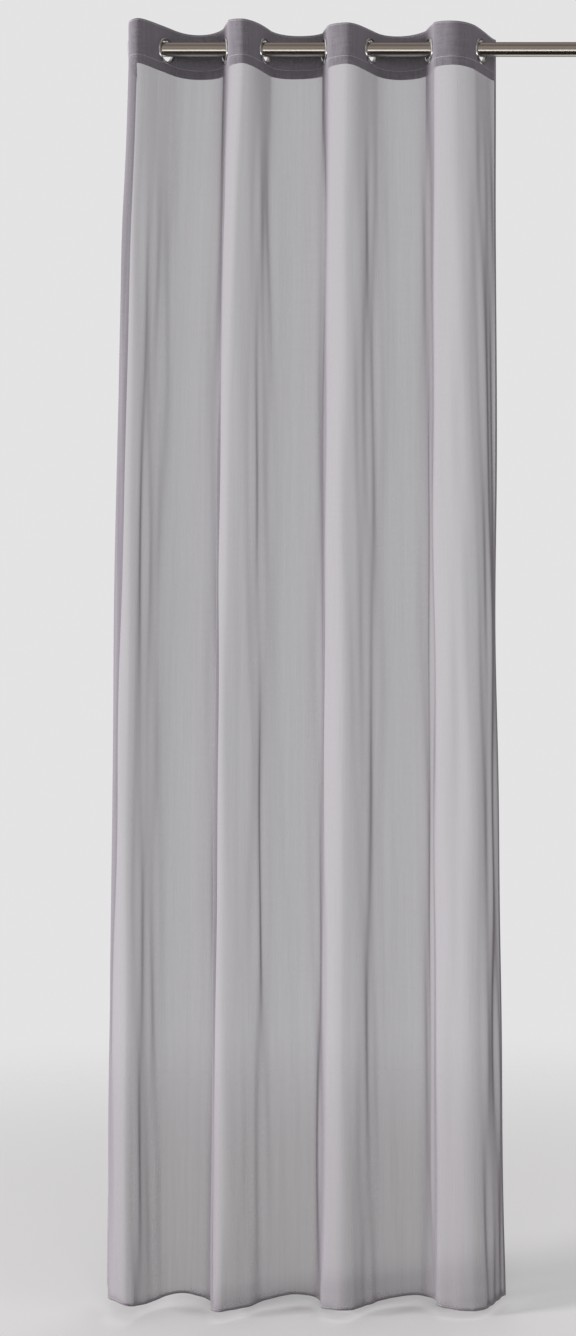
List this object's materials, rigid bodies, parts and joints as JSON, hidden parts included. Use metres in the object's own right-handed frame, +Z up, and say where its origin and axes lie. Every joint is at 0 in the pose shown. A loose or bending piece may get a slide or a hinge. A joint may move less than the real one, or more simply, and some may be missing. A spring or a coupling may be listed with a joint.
{
  "type": "sheer voile curtain on a curtain rod",
  "caption": "Sheer voile panel with metal eyelets and a woven heading band, hanging in deep uneven folds from a round metal curtain rod.",
  "frame": {"origin": "middle of the rod's axis, half way along the rod", "axes": "+X along the rod to the right as seen from the room, -Y towards the room on the curtain's face side, +Z up"},
  "size_m": [0.99, 0.1403, 2.509],
  "materials": {
    "voile": "sheer, plain weave, warm grey",
    "heading_cloth": "close slubby weave, dark warm grey",
    "eyelet_metal": "polished",
    "rod_metal": "satin nickel"
  },
  "bodies": {
    "root": {"curtain_panel": "voile", "heading_band": "heading_cloth", "eyelet_front_1": "eyelet_metal", "eyelet_front_2": "eyelet_metal", "eyelet_front_3": "eyelet_metal", "eyelet_front_4": "eyelet_metal", "eyelet_front_5": "eyelet_metal", "eyelet_front_6": "eyelet_metal", "eyelet_front_7": "eyelet_metal", "eyelet_front_8": "eyelet_metal", "eyelet_back_1": "eyelet_metal", "eyelet_back_2": "eyelet_metal", "eyelet_back_3": "eyelet_metal", "eyelet_back_4": "eyelet_metal", "eyelet_back_5": "eyelet_metal", "eyelet_back_6": "eyelet_metal", "eyelet_back_7": "eyelet_metal", "eyelet_back_8": "eyelet_metal", "rod": "rod_metal", "rod_cap_left": "rod_metal", "rod_cap_right": "rod_metal"}
  },
  "joints": []
}
